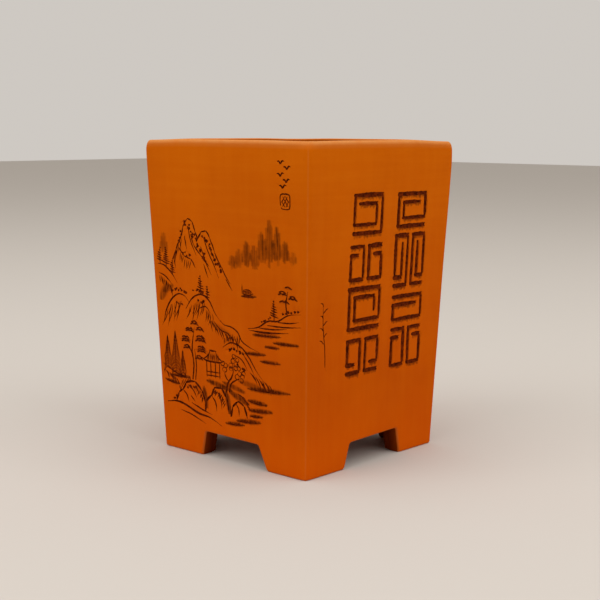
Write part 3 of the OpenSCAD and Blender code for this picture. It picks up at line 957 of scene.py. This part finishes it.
def in_arch(side, p):
    """Whether each point lies in the arch or on its edge."""
    a, b, c, d = [np.array(q) * MM for q in ARCHES[side]]
    u, z = p[:, 0], p[:, 1]
    top = b[1] + (u - b[0]) / (c[0] - b[0]) * (c[1] - b[1])
    low = a[0] + (b[0] - a[0]) * z / b[1]
    high = d[0] + (c[0] - d[0]) * z / c[1]
    return (z < top) & (u > low) & (u < high)


def grid(side, step, foot_line, clear):
    """Rows of points inside a face, kept clear of the lower edge."""
    rows = np.array([(u, z) for z in edge_heights()[1:-1] for u in across(z, step)])
    keep = (distance_to(foot_line, rows) > clear) | (np.abs(rows[:, 0]) > half(rows[:, 1]) - ARRIS_R)
    return rows[keep & ~in_arch(side, rows)]


def edge_rows(side, foot_line, radius):
    """Points that follow the lower edge at each row of its rounding."""
    out = []
    line = np.array(filled_in(list(foot_line), 1.2 * MM))
    normal = normals(line)
    for share in ROUNDING:
        row = line + normal * radius * share
        far = distance_to(foot_line, row) > radius * share * 0.97
        inside = (np.abs(row[:, 0]) < half(row[:, 1]) - ARRIS_R) & (row[:, 1] > 0)
        out.append(row[far & inside & ~in_arch(side, row)])
    return np.concatenate(out)


def line_outline(p, halves):
    """The closed outline of a cut line, from its middle points and half widths."""
    side = normals(p) * halves[:, None]
    return np.concatenate([p - side, (p + side)[::-1]])


def groove(drawing, p):
    """How deep the drawing's cuts are at each point, and how close to a cut it is, in millimetres."""
    depth = np.zeros(len(p))
    gap = np.full(len(p), 9.0)
    for middle, halves in drawing.lines:
        wide = halves.max() + 0.6
        near = np.nonzero(in_box(p, middle.min(axis=0) - wide, middle.max(axis=0) + wide))[0]
        if not len(near):
            continue
        q = p[near]
        best = np.full(len(q), np.inf)
        share = np.zeros(len(q))
        for a, b, ha, hb in zip(middle, middle[1:], halves, halves[1:]):
            t, off = to_segment(q, a, b)
            h = ha + (hb - ha) * t
            share = np.where(off < best, h, share)
            best = np.minimum(best, off)
        inside = np.clip(1 - best / np.maximum(share, 1e-6), 0, 1)
        depth[near] = np.maximum(depth[near], np.minimum(share, 0.5) * 0.8 * np.sqrt(inside))
        gap[near] = np.minimum(gap[near], best - share)
    return depth, gap


def stain(drawing, p):
    """How strongly the washes colour each point."""
    clean = np.ones(len(p))
    for a, b, h, strength, taper in drawing.washes:
        near = np.nonzero(in_box(p, np.minimum(a, b) - h, np.maximum(a, b) + h))[0]
        if not len(near):
            continue
        t, off = to_segment(p[near], a, b)
        lens = h * np.clip(4 * t * (1 - t), 0, 1) ** taper + 1e-6
        clean[near] *= 1 - strength * np.clip(1.35 * (1 - (off / lens) ** 2), 0, 1)
    return 1 - clean


def fine_grid(drawing, step):
    """A jittered grid over the washes, clear of the cuts."""
    boxes = [(np.minimum(a, b) - h, np.maximum(a, b) + h) for a, b, h, _, _ in drawing.washes]
    low = np.min([box[0] for box in boxes], axis=0)
    high = np.max([box[1] for box in boxes], axis=0)
    u, z = np.meshgrid(np.arange(low[0], high[0], step), np.arange(low[1], high[1], step))
    p = np.stack([u.ravel(), z.ravel()], axis=1)
    p += np.array([[drawing.rng.uniform(-0.2, 0.2), drawing.rng.uniform(-0.2, 0.2)] for _ in p]) * step
    wanted = np.zeros(len(p), dtype=bool)
    for low, high in boxes:
        wanted |= in_box(p, low - step, high + step)
    return p[wanted]


def pigment_shell(name, side, p, faces, depth, node):
    """The pigment in the cuts: a thin closed skin just over the clay."""
    used = sorted({i for f in faces for i in f})
    place = {i: k for k, i in enumerate(used)}
    q = p[used]
    top = face_point(side, q[:, 0], q[:, 1], depth[used] - SKIN_OVER)
    bottom = face_point(side, q[:, 0], q[:, 1], depth[used] + SKIN_UNDER)
    n = len(used)
    skin = [tuple(place[i] for i in f) for f in faces]
    edges = {(f[k], f[(k + 1) % 3]) for f in skin for k in range(3)}
    skin += [tuple(n + i for i in reversed(f)) for f in skin]
    skin += [(b, a, n + a, n + b) for a, b in sorted(edges) if (b, a) not in edges]
    points = turned(np.concatenate([top, bottom]), side)
    return new_object(name, points, skin, PIGMENT, node, 50)


def wall(side, drawing=None, pigment_name="", pigment_node="", step=2.6 * MM):
    """A wall slab: an outer and an inner sheet over one outline, joined round the edge."""
    outline, foot_line = wall_outline(side, step)
    loose = np.concatenate([grid(side, step, foot_line, WORN_R * 1.4), edge_rows(side, foot_line, WORN_R)])
    shapes = []
    if drawing:
        loose = np.concatenate([loose, fine_grid(drawing, WASH_STEP) * MM])
        gap = groove(drawing, loose / MM)[1]
        middles = np.concatenate([middle for middle, _ in drawing.lines]) * MM
        loose = np.concatenate([loose[gap > 0.22], middles])
        shapes = [line_outline(middle, halves) for middle, halves in drawing.lines]
    p, faces, in_cut, ring = triangulate(outline, loose, shapes)
    depth = bare_depth(side, p, foot_line)
    wash = np.zeros(len(p))
    if drawing:
        depth = depth + groove(drawing, p / MM)[0] * MM
        wash = stain(drawing, p / MM)
    outer = face_point(side, p[:, 0], p[:, 1], depth)
    q, back_faces, _, back_ring = triangulate(outline, grid(side, step, foot_line, WORN_R))
    inner = inner_point(side, q[:, 0], q[:, 1], rounded(HEIGHT - q[:, 1], RIM_R))
    edge = p[ring]
    low_edge = edge[:, 1] < ARCH_TOP + 3 * MM
    share = np.where(low_edge, 0.05, 0.15)[:, None]
    between = outer[ring] * (1 - share) + inner[back_ring] * share
    first = len(outer)
    mid = first + len(inner)
    n = len(ring)
    skin = faces + [tuple(first + i for i in reversed(f)) for f in back_faces]
    for i in range(n):
        j = (i + 1) % n
        skin.append((ring[j], ring[i], mid + i, mid + j))
        skin.append((mid + j, mid + i, first + back_ring[i], first + back_ring[j]))
    points = turned(np.concatenate([outer, inner, between]), side)
    name = SIDES[side]
    piece = new_object(name + "_slab", points, skin, OUTER_CLAY, name + "_wall")
    # Painted highlight and wear: the rim top and its rounding paler, where the top light catches them.
    rim = 0.85 * (1 - smoothstep(0, 2.6 * MM, HEIGHT - p[:, 1]))
    # Paler edge along the feet and arches: a little wear and a painted highlight on the lit rounded edge.
    foot_wear_and_highlight = 0.22 * (1 - smoothstep(0, WORN_R, distance_to(foot_line, p)))
    # Painted highlight down each rounded arris, with a little wear.
    arris_highlight = 0.1 * smoothstep(1.4 * MM, 2.0 * MM, np.abs(p[:, 0]) - half(p[:, 1]) + ARRIS_R)
    wear_and_sheen = np.maximum(np.maximum(rim, foot_wear_and_highlight), arris_highlight)
    # Painted highlight and wear: a thin pale line on the inner rim edge.
    inner_wear_and_sheen = 0.9 * (1 - smoothstep(0, 0.4 * MM, HEIGHT - q[:, 1]))
    # The ring on the rim top takes the full paler colour: painted highlight and wear.
    in_rim = (edge[:, 1] > HEIGHT - RIM_R) * 1.0
    # Painted shade on the arch soffits and leg sides.
    arch_painted_shade = low_edge * 0.66
    # Painted shade inside the pot: dark just below the rim and darker still below the floor.
    inside = 0.56 * smoothstep(0.1 * MM, 0.7 * MM, HEIGHT - q[:, 1]) + 0.36 * (q[:, 1] < FLOOR_TOP)
    set_looks(
        piece, np.concatenate([wear_and_sheen, inner_wear_and_sheen, in_rim]), np.concatenate([wash, np.zeros(len(q) + n)]),
        np.concatenate([np.zeros(len(p)), inside, arch_painted_shade]),
    )
    if drawing:
        cut_faces = [f for f, cut in zip(faces, in_cut) if cut]
        pigment_shell(pigment_name, side, p, cut_faces, depth, pigment_node)


# ---- Floor, feet and joints ----


def inner_half(z):
    """Half the width between the inner faces at height z."""
    return half(z) - WALL


def floor_slab():
    """The floor between the walls, smoothed by hand and a little uneven on both faces."""
    n = 44
    top_wave = waves(71, 8, 0.012, 0.06)
    low_wave = waves(72, 8, 0.012, 0.06)
    shares = np.linspace(-1, 1, n + 1)
    u, v = [a.ravel() for a in np.meshgrid(shares, shares)]
    top_z = FLOOR_TOP - (0.18 + 0.14 * top_wave(u * 0.04, v * 0.04)) * MM
    low_z = FLOOR_LOW + (0.18 + 0.14 * low_wave(u * 0.04, v * 0.04)) * MM
    top = np.stack([u * inner_half(top_z), v * inner_half(top_z), top_z], axis=1)
    low = np.stack([u * inner_half(low_z), v * inner_half(low_z), low_z], axis=1)
    m = n + 1
    starts = [i * m + j for i in range(n) for j in range(n)]
    cells = [(k, k + 1, k + m + 1, k + m) for k in starts]
    edge = [*range(m), *[i * m + n for i in range(1, m)], *[n * m + j for j in range(n - 1, -1, -1)],
            *[i * m for i in range(n - 1, 0, -1)]]
    first = m * m
    faces = cells + [tuple(first + i for i in reversed(f)) for f in cells]
    for a, b in zip(edge, edge[1:] + edge[:1]):
        faces.append((b, a, first + a, first + b))
    new_object("pot_floor", np.concatenate([top, low]), faces, INNER_CLAY_SHADED, "floor_slab")


def arch_side(side, right, z):
    """Where an arch's left or right side is at height z; above the arch it goes straight up."""
    foot, top = (ARCHES[side][3], ARCHES[side][2]) if right else (ARCHES[side][0], ARCHES[side][1])
    t = min(z / (top[1] * MM), 1)
    return (foot[0] + (top[0] - foot[0]) * t) * MM


def softened(points, radii, steps=5):
    """A closed outline with each corner rounded to its own radius."""
    out = []
    n = len(points)
    for i, r in enumerate(radii):
        before, corner, after = points[i - 1], points[i], points[(i + 1) % n]
        if r == 0:
            out.append(corner)
            continue
        to_a, to_c = unit(before - corner), unit(after - corner)
        for t in np.linspace(0, 1, steps + 1):
            # A quadratic curve from one side of the corner to the other
            out.append(corner + to_a * r * (1 - t) ** 2 + to_c * r * t**2)
    return out


def foot(side):
    """The clay that thickens one lower corner between two arches, worn round at its free edges."""
    rings = []
    bend = waves(90 + side, 6, 0.006, 0.03)
    heights = [0.0, 0.12 * MM, 0.4 * MM, 0.9 * MM, *np.linspace(2 * MM, FLOOR_LOW, 9)]
    for z in heights:
        drop = rounded(np.array([z]), WORN_R)[0]
        i = inner_half(z)
        t = i - FOOT + drop + 0.12 * MM * float(bend(z, 0.0))
        a = arch_side(side, False, z) - drop
        b = -arch_side((side + 1) % 4, True, z) - drop
        corners = [np.array(c) for c in ((-i, -i), (a, -i), (a, -t), (-t, -t), (-t, b), (-i, b))]
        ring = softened(corners, [0, 0, 1.7 * MM, 3.5 * MM, 1.7 * MM, 0])
        rings.append([(x, y, z) for x, y in ring])
    points, faces = loft(rings)
    name = CORNERS[side] + "_foot"
    piece = new_object(name + "_block", turned(points, side), faces, OUTER_CLAY, name)
    n = len(points)
    # Painted shade over the whole foot block, which sits in the shade under the pot.
    set_looks(piece, np.zeros(n), np.zeros(n), np.full(n, 0.85))


def fillet(r):
    """A hollow quarter round's section, from the corner: along one side, round the hollow, to the other."""
    out = [(0.0, 0.0), (r, 0.0)]
    for k in range(1, 10):
        turn = math.pi / 2 * k / 10
        out.append((r - r * math.sin(turn), r - r * math.cos(turn)))
    out.append((0.0, r))
    return out


def coil(name, side, rings):
    points, faces = loft(rings)
    new_object(name + "_coil", turned(points, side), faces, INNER_CLAY_SHADED, name + "_seam")


def corner_seam(side):
    """The coil pressed into an upright corner, smoothed by a finger in short strokes."""
    press = waves(120 + side, 7, 0.005, 0.03)
    rings = []
    for z in np.linspace(FLOOR_TOP, COIL_TOP, 60):
        fade = float(smoothstep(0, 9 * MM, COIL_TOP - z))
        r = COIL_R * (0.15 + 0.85 * fade) * (1 + 0.08 * float(press(z, 0.0)))
        k = inner_half(z)
        rings.append([(-k + x, -k + y, z) for x, y in fillet(r)])
    coil(CORNERS[side] + "_corner", side, rings)


def floor_seam(side):
    """The coil pressed along the foot of a wall, mitred at both ends."""
    press = waves(150 + side, 7, 0.005, 0.03)
    rings = []
    for s in np.linspace(-1, 1, 48):
        r = COIL_R * (1 + 0.08 * float(press(s * 0.038, 0.0)) * (1 - s**4))
        ring = []
        for off, rise in fillet(r):
            z = FLOOR_TOP - 0.15 * MM + rise
            k = inner_half(z)
            ring.append((s * (k - off), -k + off, z))
        rings.append(ring)
    coil(SIDES[side] + "_floor", side, rings)


# ---- Camera, floor and light ----


def camera():
    """The view of the two carved walls, a little above the rim."""
    away = 549.5 * MM
    height = 145.1 * MM
    azimuth = math.radians(47.83)
    heading = azimuth + math.radians(0.05)
    pitch = math.radians(8.06)
    roll = math.radians(0.27)
    place = Vector((-away * math.sin(azimuth), -away * math.cos(azimuth), height))
    flat = math.cos(pitch)
    ahead = Vector((math.sin(heading) * flat, math.cos(heading) * flat, -math.sin(pitch)))
    level = Vector((math.cos(heading), -math.sin(heading), 0))
    right = level * math.cos(roll) + level.cross(ahead) * math.sin(roll)
    up = right.cross(ahead)
    data = bpy.data.cameras.new("camera")
    data.lens = 73.0
    data.sensor_width = 36.0
    cam = link_object("camera", data)
    cam.matrix_world = Matrix.Translation(place) @ Matrix((right, up, -ahead)).transposed().to_4x4()
    bpy.context.scene.camera = cam


def studio():
    """A wide pale floor, an even pale surround, and soft lights above."""
    s = Shader("studio_paper")
    s.surface({"Base Color": srgb(204, 198, 191), "Roughness": 0.9, "Specular IOR Level": 0.1})
    side = 4.0
    mesh = bpy.data.meshes.new("floor")
    corners = [(-side, -side, 0), (side, -side, 0), (side, side, 0), (-side, side, 0)]
    mesh.from_pydata(corners, [], [(0, 1, 2, 3)])
    mesh.materials.append(s.material)
    link_object("floor", mesh)
    world = bpy.data.worlds.new("studio")
    world.use_nodes = True
    background = world.node_tree.nodes["Background"]
    background.inputs["Color"].default_value = srgb(230, 224, 217)
    background.inputs["Strength"].default_value = 0.78
    bpy.context.scene.world = world
    for name, place, size, power in (
        ("left", (-1.15, 0.36, 1.1), 1.1, 6.4),
        ("right", (0.25, -1.15, 1.1), 1.1, 6.2),
        ("top", (-0.1, -0.1, 1.6), 1.4, 9),
    ):
        light = bpy.data.lights.new(name, "AREA")
        light.size = size
        light.energy = power
        lamp = link_object(name, light)
        lamp.location = place
        aim = Vector((0, 0, HEIGHT / 2)) - Vector(place)
        lamp.rotation_euler = aim.to_track_quat("-Z", "Y").to_euler()
    bpy.context.scene.view_settings.view_transform = "Standard"


camera()
studio()
wall(ORNAMENT, fret(), "fret_pigment", "fret_inlay")
wall(LANDSCAPE, landscape(), "landscape_pigment", "landscape_inlay")
wall(BACK_LEFT)
wall(BACK_RIGHT)
floor_slab()
for side in range(4):
    foot(side)
    corner_seam(side)
    floor_seam(side)
